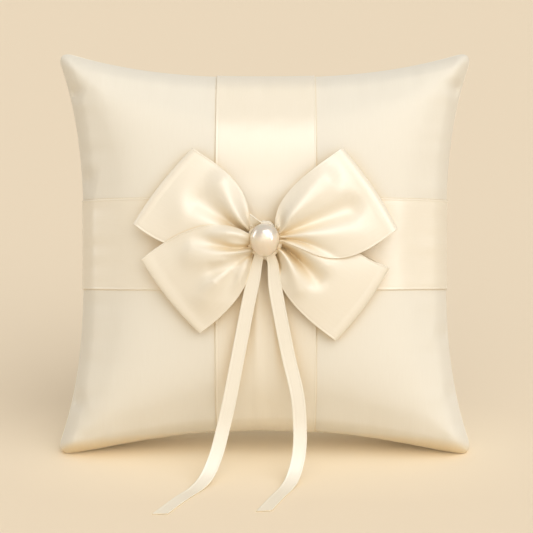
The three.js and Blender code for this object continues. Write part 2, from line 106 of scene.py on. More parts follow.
# Each loop of the bow: its upper and lower edges as cubic curves from the knot to the outer fold, in
# millimetres right and up of the bow's middle; the heights of its front and back layers at the knot
# and at the fold; and folds, as (points along it, heights, widths).
LOOPS = {
    "upper_left_loop": {
        "upper": ((-6.7, 5), (-7, 20), (-11, 30), (-34.6, 44.1)),
        "lower": ((-9, -2), (-25, -8), (-45, -7), (-63, 7.7)),
        "front": (51, 46),
        "back": (46.5, 42.2),
        "puff": 5,
        "folds": (
            (((-6.8, 4.4), (-12.6, 11), (-20, 27)), (2.4, 3.8, 2.6), (1.2, 3, 6)),
            (((-7.5, 3), (-17, 8.6), (-31, 18)), (-1.6, -4.2, -2.6), (1.4, 3.2, 6)),
            (((-8, 0.5), (-22, 8.5), (-36, 14)), (1, 1.8, 1.6), (1.4, 4.5, 9)),
            (((-6.6, 7), (-9.6, 12), (-12, 20)), (-0.6, -1.4, -0.4), (1, 2, 3.5)),
        ),
    },
    "lower_right_loop": {
        "upper": ((7, -0.4), (20, 2), (38, 0), (59.6, -13.1)),
        "lower": ((3.8, -8.5), (5.8, -20), (9.6, -31), (33.9, -48.1)),
        "front": (52, 46),
        "back": (46.5, 42.2),
        "puff": 5,
        "gape": 1.2,
        "folds": (
            (((7, -0.6), (16.5, -3.6), (28, -12)), (3.4, 4.6, 1.6), (1.4, 2.6, 5)),
            (((6.8, -2.6), (15, -8.2), (24.5, -17.6)), (-3.2, -5.4, -3.2), (1, 2.5, 4.4)),
            (((6.4, -4.2), (11.4, -10), (16.2, -23)), (3, 3.6, 1.6), (1.1, 2, 4)),
            (((5.2, -6.4), (6.6, -11), (8, -17)), (-2.4, -2.2, -0.4), (0.9, 1.3, 2.2)),
        ),
    },
    "lower_left_loop": {
        "upper": ((-7.1, 2.6), (-17, 9), (-33, 12), (-59.2, -9)),
        "lower": ((-5.9, -8.4), (-6.6, -19), (-11.6, -30.5), (-31, -44.5)),
        "front": (55, 46.7),
        "back": (51.5, 44.5),
        "puff": 6,
        "folds": (
            (((-7, 1), (-18, 3.6), (-33, 3)), (2.4, 3, 0.6), (1.5, 2.6, 5)),
            (((-6.4, -2.8), (-17, -3.8), (-30, 0)), (-3.2, -5.4, -1.2), (0.9, 1.9, 4)),
            (((-6.6, -4.6), (-19, -5.4), (-35, -3.8)), (1.6, 2.4, 1), (1, 1.8, 4)),
            (((-6.8, -5.4), (-20, -9.8), (-35, -8.4)), (1, 2.6, 1.4), (1.2, 2.6, 5)),
            (((-6.2, -6), (-13, -8.8), (-24, -13.4)), (-3, -5, -2.2), (0.9, 2.4, 4)),
            (((-17, -14), (-24, -20), (-28, -27)), (0.4, 2.6, 1.8), (2, 3.6, 6)),
            (((-10, -11), (-15.4, -17), (-17, -25)), (-1, -2, -0.8), (2, 2.6, 3.6)),
            (((-6, -8), (-8, -18), (-11, -27)), (-2, -2.6, -1), (1.4, 2, 3)),
        ),
    },
    "upper_right_loop": {
        "upper": ((5, 6), (4.2, 19), (14, 28), (37, 44.4)),
        "lower": ((7.4, -0.4), (24, -5), (33, -19.5), (63.5, 5.4)),
        "front": (55, 47.5),
        "back": (51.5, 42.5),
        "puff": 6,
        "folds": (
            (((6.2, 4.4), (8, 7.4), (8.8, 13)), (-2.2, -3.4, -0.8), (0.8, 1.4, 2.4)),
            (((6.8, 3.8), (12.4, 11.6), (28, 29)), (2.4, 3.8, 3), (1.1, 2.8, 7)),
            (((7.2, 2.6), (18.6, 6.4), (40, 14.6)), (-2.8, -5, -4.4), (0.9, 2.6, 6)),
            (((7.3, 1.6), (20, 3.6), (40, 7)), (1.4, 2.2, 1), (1, 3.4, 8)),
            (((7.2, 0), (17, -2), (29, -8)), (-2.6, -4.2, -2), (1, 2.6, 4)),
        ),
    },
}

# Middle line of each tie ribbon tail: right, back and up from the ground below the cushion's lower
# seam. It hangs from the knot, meets the ground and runs forwards.
TAILS = {
    "left": (
        (-3.7, -28.9, 103.2), (-5, -29.6, 97), (-7.3, -30.6, 87), (-12, -33.2, 63),
        (-16.8, -36, 38), (-20, -38, 24), (-23.2, -42.5, 12.5), (-27.4, -49.5, 4.2),
        (-32.2, -58, 0.9), (-39.6, -72, 0.45), (-48.2, -92, 0.45),
    ),
    "right": (
        (3.9, -28.9, 103.2), (4.5, -29.6, 97), (5.8, -30.6, 87), (11, -33.2, 60),
        (15.6, -36, 40), (16.9, -38, 24), (16.4, -42.5, 12.5), (13.8, -49.5, 4.2),
        (10.6, -57, 0.9), (5.6, -70, 0.45), (-0.4, -88, 0.45),
    ),
}

# ---- The cushion's frame ----
back_rest = next(m for m in frame["record"]["mounts"] if m["name"] == "back_rest")
BACKWARD = np.array(back_rest["axis"])
RIGHT = np.array([1.0, 0.0, 0.0])
UPWARD = np.cross(RIGHT, BACKWARD)
MIDDLE = np.array(back_rest["pos_m"]) - (BACK_FLAT + SEAM_GAP) * MM * BACKWARD
FOOT = np.array([0, MIDDLE[1] - FOOT_TO_MIDDLE * MM * UPWARD[1], 0])


def place(points):
    """Points of the cushion's frame (right, front, up), as metres in the row's frame."""
    points = np.asarray(points, float)
    right, front, up = points[..., 0:1], points[..., 1:2], points[..., 2:3]
    return MIDDLE + MM * (right * RIGHT - front * BACKWARD + up * UPWARD)


def unplace(points):
    """The other way round: metres of the row's frame, as points of the cushion's frame."""
    offset = (np.asarray(points, float) - MIDDLE) / MM
    return stack(offset @ RIGHT, -(offset @ BACKWARD), offset @ UPWARD)


def above_ground(points, height):
    """Points of the cushion's frame, those too low lifted to that height above the ground."""
    placed = place(points)
    placed[..., 2] = np.maximum(placed[..., 2], height * MM)
    return unplace(placed)


def stack(*arrays):
    return np.stack(np.broadcast_arrays(*arrays), axis=-1).astype(float)


def mix(a, b, share):
    return a + (b - a) * share


def smooth(low, high, value):
    """0 below low, 1 above high, and a soft step between."""
    share = np.clip((value - low) / (high - low), 0, 1)
    return share * share * (3 - 2 * share)


def bump(distance, width):
    return np.exp(-((distance / width) ** 2))


def rounded(wave, power):
    """A sine wave made squarer (power below 1) or more pointed (above 1)."""
    return np.sign(wave) * np.abs(wave) ** power


def blurred(field, passes):
    for _ in range(passes):
        padded = np.pad(field, 1, mode="edge")
        field = (padded[:-2, 1:-1] + padded[2:, 1:-1] + padded[1:-1, :-2] + padded[1:-1, 2:]) / 4
    return field


# ---- Curves ----
def cubic(corners, t):
    """A Bezier curve through four corners, at t, as (..., 2)."""
    t = np.asarray(t, float)[..., None]
    a, b, c, d = np.array(corners, float)
    return (1 - t) ** 3 * a + 3 * (1 - t) ** 2 * t * b + 3 * (1 - t) * t * t * c + t ** 3 * d


def curve_weights(t):
    """How much each of the four values around a gap counts, at t through the gap."""
    return (
        t * (t * (2 - t) - 1) / 2,
        (t * t * (3 * t - 5) + 2) / 2,
        t * (t * (4 - 3 * t) + 1) / 2,
        t * t * (t - 1) / 2,
    )


def smooth_line(points, count):
    """A smooth line through points, as count evenly spaced points."""
    points = np.array(points, float)
    padded = np.vstack([2 * points[0] - points[1], points, 2 * points[-1] - points[-2]])
    gaps = len(points) - 1
    way = np.linspace(0, gaps, 30 * gaps + 1)
    start = np.minimum(way.astype(int), gaps - 1)
    weights = curve_weights(way - start)
    line = sum(w[:, None] * padded[start + k] for k, w in enumerate(weights))
    length = np.concatenate([[0], np.cumsum(np.linalg.norm(np.diff(line, axis=0), axis=1))])
    even = np.linspace(0, length[-1], count)
    return np.stack([np.interp(even, length, line[:, k]) for k in range(3)], axis=1)


def fold(plan, path, heights, widths):
    """Height of one soft fold: a ridge or valley along a curve through three points of the plan."""
    steps = np.linspace(0, 1, 60)
    first, middle, last = np.array(path, float)
    bend = 2 * middle - (first + last) / 2
    line = [mix(mix(first, bend, t), mix(bend, last, t), t) for t in steps]
    distance = np.stack([np.linalg.norm(plan - point, axis=-1) for point in line])
    nearest = steps[distance.argmin(axis=0)]
    height = np.interp(nearest, (0, 0.5, 1), heights)
    width = np.interp(nearest, (0, 0.5, 1), widths)
    return height * bump(distance.min(axis=0), width)


# ---- Meshes from grids of points ----
def mesh_object(name, points, faces, threads=None):
    """An object from points in metres. threads are their places on the flat cloth, in millimetres."""
    mesh = bpy.data.meshes.new(name)
    mesh.from_pydata(points.tolist(), [], [list(face) for face in faces])
    mesh.validate()
    if threads is not None:
        layer = mesh.uv_layers.new(name="threads")
        corners = np.zeros(len(mesh.loops), np.int32)
        mesh.loops.foreach_get("vertex_index", corners)
        layer.data.foreach_set("uv", threads[corners].astype(np.float32).ravel())
    thing = bpy.data.objects.new(name, mesh)
    bpy.context.scene.collection.objects.link(thing)
    return thing


def close_up(thing):
    """Drops loose points, joins doubled ones and makes every face point out."""
    work = bmesh.new()
    work.from_mesh(thing.data)
    bmesh.ops.remove_doubles(work, verts=work.verts, dist=1e-6)
    bmesh.ops.delete(work, geom=[v for v in work.verts if not v.link_faces], context="VERTS")
    bmesh.ops.recalc_face_normals(work, faces=work.faces)
    work.to_mesh(thing.data)
    work.free()
    thing.data.shade_smooth()


def quads(index, flip=False):
    """Four-sided faces between neighbouring entries of a grid of vertex numbers."""
    a, b, c, d = index[:-1, :-1], index[1:, :-1], index[1:, 1:], index[:-1, 1:]
    order = (a, d, c, b) if flip else (a, b, c, d)
    return np.stack([k.ravel() for k in order], axis=1)


def normals(grid):
    """Unit normals of a surface, at the points of its grid."""
    normal = np.cross(np.gradient(grid, axis=0), np.gradient(grid, axis=1))
    return normal / np.maximum(np.linalg.norm(normal, axis=-1, keepdims=True), 1e-9)


def cloth_places(grid):
    """Where each point of a grid lies on the flat cloth: across and along, in millimetres."""
    steps = np.linalg.norm(np.diff(grid, axis=0), axis=2).mean(axis=1)
    along = np.concatenate([[0], np.cumsum(steps)])[:, None]
    middle = grid.shape[0] // 2
    steps = np.linalg.norm(np.diff(grid[middle], axis=0), axis=1)
    across = np.concatenate([[0], np.cumsum(steps)])[None, :]
    return stack(across, along)


def sheet(name, grid, thickness, closed=False):
    """A closed sheet of ribbon around a grid of points. thickness is one number per column."""
    normal = normals(np.concatenate([grid[-2:-1], grid, grid[1:2]]))[1:-1] if closed else normals(grid)
    half = normal * np.broadcast_to(thickness, grid.shape[:2])[..., None] / 2
    top = np.arange(grid[..., 0].size).reshape(grid.shape[:2])
    if closed:
        top[-1] = top[0]
    bottom = top + top.size
    strips = [quads(top), quads(bottom, flip=True)]
    for column, flip in ((0, False), (-1, True)):
        strips.append(quads(np.stack([bottom[:, column], top[:, column]], axis=1), flip))
    if not closed:
        for row, flip in ((0, True), (-1, False)):
            strips.append(quads(np.stack([bottom[row], top[row]], axis=1), flip))
    points = np.concatenate([(grid + half).reshape(-1, 3), (grid - half).reshape(-1, 3)])
    places = cloth_places(grid).reshape(-1, 2)
    made = mesh_object(name, place(points), np.concatenate(strips), np.concatenate([places, places]))
    close_up(made)
    made.data.set_sharp_from_angle(angle=math.radians(60))
    return made


def round_form(name, grid):
    """A closed form from rings of points: rows go round, columns from one end to the other."""
    rows, columns = grid.shape[:2]
    index = np.arange(rows * columns).reshape(rows, columns)
    index[-1] = index[0]
    faces = [*quads(index), index[:-1, 0], index[:-1, -1]]
    made = mesh_object(name, place(grid.reshape(-1, 3)), faces, cloth_places(grid).reshape(-1, 2))
    close_up(made)
    return made


def across_ribbon(width, count=41):
    """Places across a ribbon, from edge to edge, with extra ones for its woven edge."""
    edge = np.array([0, 0.2, 0.45, 0.7, 1.0, 1.3])
    inner = np.linspace(1.9, width - 1.9, count)
    return np.concatenate([edge, inner, width - edge[::-1]]) - width / 2


def woven_edge(across, width):
    """Thickness across a ribbon: a raised cord along each edge and a fine groove inside it."""
    inside = width / 2 - np.abs(across)
    cord = 0.22 * bump(inside - 0.45, 0.3)
    groove = 0.14 * bump(inside - 1.15, 0.25)
    return RIBBON * np.clip(inside / 0.2 + 0.5, 0, 1) + cord - groove


# ---- Cushion ----
def half_width(v):
    return HALF_WIDTH - SIDE_INSET * (1 - np.abs(v) ** 2.8)


def half_height(u, v):
    """The lower edge sags towards the ground, so its curve is rounder than the upper one."""
    upper = 1 - np.abs(u) ** 2.5
    lower = 0.97 * np.clip(1 - u * u, 0, 1) ** 1.25
    return HALF_HEIGHT - END_INSET * np.where(v > 0, upper, lower)


def past_face(u, v):
    """How far shares reach into the strip along the seams where the face turns over."""
    return [np.maximum(np.abs(k) - (1 - CORNER), 0) for k in (u, v)]


def round_corners(u, v):
    """The same shares, with the corners of the square brought in to quarter circles."""
    over = past_face(u, v)
    factor = np.maximum(*over) / np.maximum(np.hypot(*over), 1e-9)
    factor = np.where(np.minimum(*over) > 0, factor, 1)
    return [np.sign(k) * (np.abs(k) - part * (1 - factor)) for k, part in zip((u, v), over)]


def seamward(way):
    """Even steps from -1 to 1 turned into steps that bunch up towards the seams."""
    return np.sin(way * math.pi / 2)


def plain_face(u, v, front):
    """The filled face of the cushion, for shares from -1 to 1 between the seams."""
    u, v = round_corners(*np.broadcast_arrays(u, v))
    across, along = (1 - RIM * np.abs(k) ** FULLNESS for k in (u, v))
    inner = across * along / (across + along - across * along)
    turn_over = np.sqrt(np.clip(1 - (np.hypot(*past_face(u, v)) / CORNER) ** 2, 0, 1))
    rise = CROWN * inner ** CROWN_POWER * turn_over
    depth = rise if front else -np.minimum(rise, BACK_FLAT)
    return stack(u * half_width(v), depth, v * half_height(u, v))


def face_shares(cells):
    way = seamward(np.linspace(-1, 1, cells + 1))
    return way[:, None], way[None, :]


def rim(size):
    """True along the border of a square grid."""
    border = np.ones((size, size), bool)
    border[1:-1, 1:-1] = False
    return border


def cushion_object(name, front, back, threads=None):
    """One closed form from a front and a back grid that meet along the seam."""
    size = front.shape[0]
    front_index = np.arange(size * size).reshape(size, size)
    back_index = np.where(rim(size), front_index, front_index + size * size)
    faces = np.concatenate([quads(front_index), quads(back_index, flip=True)])
    points = np.concatenate([front.reshape(-1, 3), back.reshape(-1, 3)])
    return mesh_object(name, place(points), faces, threads)


def inflate(front, back):
    """Puffs a cushion up with a cloth simulation, its seam held still. Gives both grids back."""
    size = front.shape[0]
    pad = cushion_object("inflating", front, back)
    seam = pad.vertex_groups.new(name="seam")
    seam.add(np.flatnonzero(rim(size)).tolist(), 1.0, "REPLACE")
    settings = pad.modifiers.new("cloth", "CLOTH").settings
    settings.quality = 6
    settings.mass = 0.3
    settings.tension_stiffness = 15
    settings.compression_stiffness = 15
    settings.shear_stiffness = 5
    settings.bending_stiffness = 0.5
    settings.vertex_group_mass = "seam"
    settings.use_pressure = True
    settings.uniform_pressure_force = 4
    settings.shrink_min = -FABRIC_EASE
    settings.effector_weights.gravity = 0
    for step in range(1, 21):
        bpy.context.scene.frame_set(step)
    shaped = pad.evaluated_get(bpy.context.evaluated_depsgraph_get()).data
    points = np.zeros(len(shaped.vertices) * 3)
    shaped.vertices.foreach_get("co", points)
    points = unplace(points.reshape(-1, 3))
    bpy.data.objects.remove(pad)
    bpy.context.scene.frame_set(1)
    front, back = (half.reshape(size, size, 3) for half in np.split(points, 2))
    back[rim(size)] = front[rim(size)]
    return front, back


def swelling():
    """How far the stuffing moves each face from its plain shape, on the coarse grid, capped softly."""
    shares = face_shares(PAD_CELLS)
    plain = [plain_face(*shares, front) for front in (True, False)]
    moved = [after - before for after, before in zip(inflate(*plain), plain)]
    sizes = [np.linalg.norm(move, axis=2, keepdims=True) for move in moved]
    capped = [move / np.sqrt(1 + (size / SWELL_CAP) ** 2) for move, size in zip(moved, sizes)]
    inside = 1 - np.maximum(*[np.abs(share) for share in shares])
    calm = smooth(0, 0.22, inside)[..., None]
    return [calm * np.stack([blurred(move[..., k], 5) for k in range(3)], axis=-1) for move in capped]


def read_field(field, u, v):
    """A field kept on the coarse grid, read smoothly at any shares."""
    cells = len(field) - 1
    u, v = np.broadcast_arrays(u, v)
    row, column = [(np.arcsin(np.clip(k, -1, 1)) / math.pi + 0.5) * cells for k in (u, v)]
    row_start, column_start = [np.minimum(k.astype(int), cells - 1) for k in (row, column)]
    total = 0
    for i, row_weight in enumerate(curve_weights(row - row_start)):
        for j, column_weight in enumerate(curve_weights(column - column_start)):
            rows = np.clip(row_start + i - 1, 0, cells)
            columns = np.clip(column_start + j - 1, 0, cells)
            total = total + field[rows, columns] * (row_weight * column_weight)[..., None]
    return total


def ripple(along, phase):
    """An uneven wave along a seam, where the fabric is eased into its stitches."""
    waves = ((9.3, 0.3), (14.9, 0.35), (24.1, 0.35))
    return sum(share * np.sin(math.tau * along / length + phase * length) for length, share in waves)


def seam_detail(u, v, points):
    """Height of the ripples and dents next to the seam and of the creases at the corners."""
    right, up = points[..., 0], points[..., 2]
    height = 0
    for side, (share, along) in enumerate(((u, up), (-u, up), (v, right), (-v, right))):
        inside = (1 - share) * HALF_WIDTH
        reach = smooth(0.2, 4, inside) * np.exp(-inside / 9)
        height = height + 1.1 * reach * ripple(along, side + 1.3)
    plan = points[..., (0, 2)]
    from_seam = smooth(0, 4, (1 - np.maximum(np.abs(u), np.abs(v))) * HALF_WIDTH)
    for x, z in DENTS:
        spot = np.array([x, z])
        inward = np.array([-0.9 * np.sign(x), -0.25 * np.sign(z)])
        path = (spot - 5 * inward, spot, spot + 7 * inward)
        height = height + from_seam * fold(plan, path, (-3, -4.2, 0), (3.4, 3.8, 5.5))
    for x in (-1, 1):
        for z in (-1, 1):
            corner = np.array([x * (HALF_WIDTH - 7), z * (HALF_HEIGHT - 7)])
            for turn, length, deep in ((0.3, 22, 0.8), (1.25, 22, 0.8)):
                away = -np.array([x * math.cos(turn), z * math.sin(turn)])
                path = (corner + 5 * away, corner + length * away / 2, corner + length * away)
                height = height - from_seam * fold(plan, path, (0, deep, 0), (2.6, 3.4, 5))
    return height


def cover_point(u, v, front=True):
    """A point of the finished cushion's cover, for shares from -1 to 1 between the seams."""
    u, v = np.broadcast_arrays(u, v)
    points = plain_face(u, v, front) + read_field(SWELL[0 if front else 1], u, v)
    points[..., 1] += seam_detail(u, v, points) * (1 if front else -1)
    inside = np.minimum(1 - np.abs(u), 1 - np.abs(v)) * HALF_WIDTH
    cheek = 0.5 * smooth(0, 1, inside) * np.exp(-inside / 5)
    points[..., 0] += cheek * u ** 5
    points[..., 2] += cheek * v ** 5
    return points


SWELL = swelling()


def cushion_cover():
    """Front and back in one closed form, pressed flat where its lower corners meet the ground."""
    shares = face_shares(COVER_CELLS)
    front, back = (above_ground(cover_point(*shares, side), 0.1) for side in (True, False))
    threads = np.concatenate([front[..., (0, 2)].reshape(-1, 2), back[..., (0, 2)].reshape(-1, 2)])
    made = cushion_object("cushion_cover", front, back, threads)
    close_up(made)
    return made


# ---- Bands ----
def lifted(grid, height):
    """A grid moved out along its normals, away from the cushion."""
    normal = normals(grid)
    out = np.sign(normal[grid.shape[0] // 2, grid.shape[1] // 2, 1])
    return grid + normal * out * np.asarray(height)[..., None]


def horizontal_band():
    width, middle = HORIZONTAL_BAND["width"], HORIZONTAL_BAND["middle"]
    across = across_ribbon(width)[None, :]
    u = seamward(np.linspace(-BAND_REACH, BAND_REACH, 190))[:, None]
    grid = cover_point(u, (across + middle) / half_height(u, across + middle))
    return sheet("horizontal_ribbon", lifted(grid, HORIZONTAL_BAND["lift"]), woven_edge(across, width))


def vertical_band():
    """The band on top: it steps over the horizontal one and has two soft folds below the bow."""
    width = VERTICAL_BAND["width"]
    across = across_ribbon(width)[None, :]
    v = seamward(np.linspace(-BAND_REACH, BAND_REACH, 190))[:, None]
    grid = cover_point((across + VERTICAL_BAND["middle"]) / half_width(v), v)
    right, up = grid[..., 0], grid[..., 2]
    from_crossing = np.abs(up - HORIZONTAL_BAND["middle"]) - HORIZONTAL_BAND["width"] / 2
    lift = VERTICAL_BAND["lift"] + 0.65 * (1 - smooth(0, 12, from_crossing))
    below = smooth(-2, -22, up) * smooth(-88, -34, up)
    folds = 1.3 * bump(right + 3.5, 2.6) + 0.9 * bump(right - 4.5, 2.4)
    return sheet("vertical_ribbon", lifted(grid, lift + below * folds), woven_edge(across, width))


# ---- Bow ----
def loop_plan(loop, along, side):
    """Where a loop's ribbon lies on the cushion's face: side is 0 on its lower edge, 1 on its upper."""
    lower, upper = cubic(loop["lower"], along), cubic(loop["upper"], along)
    outward = np.array(loop["lower"][-1]) + np.array(loop["upper"][-1])
    bow = 1.5 * (4 * side * (1 - side) * along ** 4)[..., None]
    return mix(lower, upper, side[..., None]) + bow * outward / np.linalg.norm(outward)


def loop_height(loop, along, side, plan, front):
    """How high one layer of a loop stands above the seam plane."""
    across = 2 * side - 1
    swell = np.sin(math.pi * np.clip(along, 0, 1)) ** 0.8
    knot, tip = loop["front" if front else "back"]
    height = mix(knot, tip, np.clip(along, 0, 1) ** 1.3)
    if not front:
        return height - 0.6 * swell
    height = height + loop["puff"] * swell * (1 - 0.7 * np.abs(across) ** 2.4)
    for path, heights, widths in loop["folds"]:
        height = height + FOLD_DEPTH * fold(plan, path, heights, widths)
    pleats = 0.4 * np.cos(across * 14 + loop["puff"]) * np.exp(-np.clip(along, 0, 1) / 0.14)
    return height + pleats


def loop_grid(loop, under=None):
    """The ribbon of one loop: out from the knot along the back, round its outer fold and back in front."""
    layer_steps = np.sin(np.linspace(-math.pi / 2, math.pi / 2, 17))
    turn_steps = 1 - TURN + TURN * np.cos(np.linspace(-math.pi / 2, math.pi / 2, 17))
    back = np.linspace(-0.07, 1 - TURN, 40)[:-1]
    front = np.linspace(1 - TURN, -0.07, 130)[1:]
    along = np.concatenate([back, turn_steps, front])[:, None]
    layer = np.concatenate([-np.ones(len(back)), layer_steps, np.ones(len(front))])[:, None]
    side = (across_ribbon(BOW_RIBBON, 60) / BOW_RIBBON + 0.5)[None, :]
    along, layer, side = np.broadcast_arrays(along, layer, side)
    plan = loop_plan(loop, along, side)
    gape = loop.get("gape", 0) * (1 + layer) / 2 * side ** 9 * bump(along - 0.86, 0.09)
    plan = plan - np.stack([0 * gape, gape], axis=-1)
    flat = np.minimum(along, 1 - TURN)
    flat_plan = loop_plan(loop, flat, side)
    lower = loop_height(loop, flat, side, flat_plan, False)
    upper = loop_height(loop, flat, side, flat_plan, True)
    if under is not None:
        lower, upper = rest_on(under, plan, lower, upper)
    height = mix(lower, upper, (1 + layer) / 2)
    return stack(plan[..., 0], height, BOW_UP + plan[..., 1])


def rest_on(under, plan, lower, upper):
    """Lifts both layers of a loop where another loop lies below them."""
    points = under.reshape(-1, 3)
    index = np.arange(len(points)).reshape(under.shape[:2])
    tree = BVHTree.FromPolygons([Vector(p) for p in points], quads(index).tolist())
    found = np.full(lower.shape, -1e3)
    for at in np.ndindex(lower.shape):
        above = Vector((plan[at][0], 100, BOW_UP + plan[at][1]))
        hit = tree.ray_cast(above, Vector((0, -1, 0)))[0]
        if hit is not None:
            found[at] = hit.y
    push = blurred(np.maximum(found + LOOP_GAP - lower, 0), 40)
    push = np.maximum(push, found + LOOP_GAP * 0.6 - lower)
    lower = lower + blurred(push, 6)
    return lower, np.maximum(upper, blurred(np.maximum(upper, lower + LOOP_GAP), 12))


def bow_loops():
    """The four loops. Each pair is one ribbon, its second loop lying over its neighbour."""
    grids = {name: loop_grid(LOOPS[name]) for name in ("upper_left_loop", "lower_right_loop")}
    grids["lower_left_loop"] = loop_grid(LOOPS["lower_left_loop"], grids["upper_left_loop"])
    grids["upper_right_loop"] = loop_grid(LOOPS["upper_right_loop"], grids["lower_right_loop"])
    thickness = woven_edge(across_ribbon(BOW_RIBBON, 60), BOW_RIBBON)
    for name, grid in grids.items():
        piece = sheet(name + "_ribbon", grid, thickness)
        dress(piece, RIBBON_SATIN, "ribbon_satin", name)
        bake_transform(piece)


def bow_waist():
    """The pleated middle of the bow's two ribbons, inside the knot."""
    turn = np.linspace(0, math.tau, 181)[:, None]
    way = np.linspace(-1, 1, 25)[None, :]
    radius = WAIST_RADIUS + 0.35 * np.cos(9 * turn) * (1 - way ** 2)
    radius = radius * np.sqrt(np.clip(1 - np.abs(way) ** 5, 0.002, 1))
    grid = stack(radius * np.cos(turn), BOW_DEPTH + 4.2 * way, BOW_UP + 1.15 * radius * np.sin(turn))
    return round_form("bow_waist", grid)


def knot_wrap():
    """The tie ribbon wrapped round the bow's middle, with a hollow that the pearl sits in."""
    turn = np.linspace(0, math.tau, 129)[:, None]
    across = np.linspace(-1, 1, 73)[None, :]
    pleats = 0.12 * np.cos(9 * across + 1.5 * np.sin(turn))
    edge = 1 - 0.2 * across ** 4
    up = (KNOT["height"] + pleats) * edge * rounded(np.sin(turn), 0.85)
    right = KNOT["width"] * across * np.sqrt(1 - 0.8 * np.sin(turn) ** 2)
    depth = (KNOT["half_depth"] + pleats) * edge * rounded(np.cos(turn), 0.7)
    hollow = 4.3 * bump(np.hypot(right, up), 6.6) * (np.cos(turn) > 0)
    grid = stack(right, KNOT["depth"] + depth - hollow, BOW_UP + up)
    return sheet("knot_wrap", grid, np.full(73, RIBBON), closed=True)


def knot_tip():
    """A small folded corner of the tie ribbon that stands out above the knot, left of the pearl."""
    way = np.linspace(0, 1, 28)[:, None]
    width = 8
    across = across_ribbon(width, 9)[None, :]
    side = across / width + 0.5
    top = mix(np.array((-7.0, 12.5)), np.array((-1.5, 8.4)), way[..., None])
    foot = mix(np.array((-6.9, 6.5)), np.array((-4.0, 6.2)), way[..., None])
    plan = mix(foot, top, side[..., None])
    depth = mix(55.4, 58.2, side) - 0.8 * way + 0.5 * np.sin(math.pi * way)
    grid = stack(plan[..., 0], depth, BOW_UP + plan[..., 1])
    return sheet("knot_tip", grid, woven_edge(across[0], width))


def pearl_bead():
    """An egg-shaped bead, a little narrower below."""
    turn = np.linspace(0, math.tau, 129)[:, None]
    angle = np.linspace(-math.pi / 2 + 0.06, math.pi / 2 - 0.06, 97)[None, :]
    radius = PEARL["radius"] * np.cos(angle) ** 0.92 * (1 + PEARL["taper"] * np.sin(angle))
    up = PEARL["half_length"] * np.sin(angle)
    grid = stack(radius * np.cos(turn), PEARL["depth"] + radius * np.sin(turn), BOW_UP + up)
    return round_form("pearl_bead", grid)


# ---- Tie ribbon tails ----
def tail_grid(line):
    """A ribbon along a line, its width level, narrower at the knot, its far end cut at a slant."""
    run = np.gradient(line, axis=0)
    run /= np.linalg.norm(run, axis=1, keepdims=True)
    level = np.array([1, 0, 0]) - run * run[:, :1]
    level /= np.linalg.norm(level, axis=1, keepdims=True)
    way = np.linspace(0, 1, len(line))[:, None]
    across = across_ribbon(TAIL["width"], 15)[None, :] * mix(0.7, 1, smooth(0, 0.12, way))
    slip = TAIL["end_slant"] * across * way ** 12
    return line[:, None] + level[:, None] * across[..., None] + run[:, None] * slip[..., None]


def tail(side, points):
    """One tail as a ribbon that stands for both its parts of the plain model, and its root in the knot."""
    way = -1 if side == "left" else 1
    hanging = unplace(FOOT + MM * np.array(points))
    root = np.array([(way * 2.4, 54.4, BOW_UP - 5), (way * 2.9, 53.9, BOW_UP - 8)])
    line = smooth_line(np.vstack([root, hanging]), 280)
    start = int(np.linalg.norm(line - hanging[0], axis=1).argmin())
    thickness = woven_edge(across_ribbon(TAIL["width"], 15), TAIL["width"])
    grid = tail_grid(line)
    piece = sheet(side + "_tie_ribbon", grid[start:], thickness)
    dress(piece, TIE_SATIN_PAINTED_LIGHTER, "ribbon_satin", side + "_tail", side + "_tail_end")
    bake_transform(piece)
    stub = sheet(side + "_tie_root", grid[: start + 1], thickness)
    dress(stub, TIE_SATIN_PAINTED_LIGHTER, "ribbon_satin")
    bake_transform(stub)


# ---- Threads ----
def tube(name, line, radius):
    """A round thread along a line of points, with closed ends."""
    run = np.gradient(line, axis=0)
    run /= np.linalg.norm(run, axis=1, keepdims=True)
    first = np.cross(run, np.array([0.3, 0.9, 0.2]))
    first /= np.linalg.norm(first, axis=1, keepdims=True)
    second = np.cross(run, first)
    turn = np.linspace(0, math.tau, 9)[:, None, None]
    rings = line[None] + radius * (np.cos(turn) * first[None] + np.sin(turn) * second[None])
    return round_form(name, rings)


def seam_line(share):
    """Points along the whole seam, at that share of the way out and just above the ground."""
    way = np.linspace(-1, 1, 200)
    u = np.concatenate([way, 0 * way + 1, -way, 0 * way - 1])
    v = np.concatenate([0 * way - 1, way, 0 * way + 1, -way])
    line = above_ground(plain_face(u, v, True) * share, 0.5)
    return line[np.linalg.norm(np.diff(line, axis=0, prepend=line[-1:]), axis=1) > 1e-3]


def pearl_hanger():
    """The thread that holds the pearl: through its hole and back into the knot at both ends."""
    turn = np.linspace(-math.pi / 2, math.pi / 2, 60)
    up = 7.6 * rounded(np.sin(turn), 0.8)
    depth = PEARL["depth"] - 7 * (1 - np.cos(turn))
    return tube("pearl_hanger", stack(0 * up, depth, BOW_UP + up), THREAD_RADIUS["pearl"])


def closing_stitches():
    """Thread whipped over the lower seam, where the cushion was closed after stuffing."""
    u = np.linspace(-0.28, 0.28, 900)
    seam = cover_point(u, np.full_like(u, -1.0))
    turn = seam[:, 0] * math.tau / 3.2
    line = seam + 0.75 * stack(0 * turn, np.cos(turn), -0.35 + 0.5 * np.sin(turn))
    return tube("closing_stitches", line, THREAD_RADIUS["closing"])


# ---- Materials ----
def feed(tree, socket, value):
    """Sets a node's input to a value, or links it to another node's output."""
    if isinstance(value, bpy.types.NodeSocket):
        tree.links.new(value, socket)
    else:
        socket.default_value = value


def fill_in(tree, node, inputs):
    for key, value in inputs.items():
        feed(tree, node.inputs[key], value)


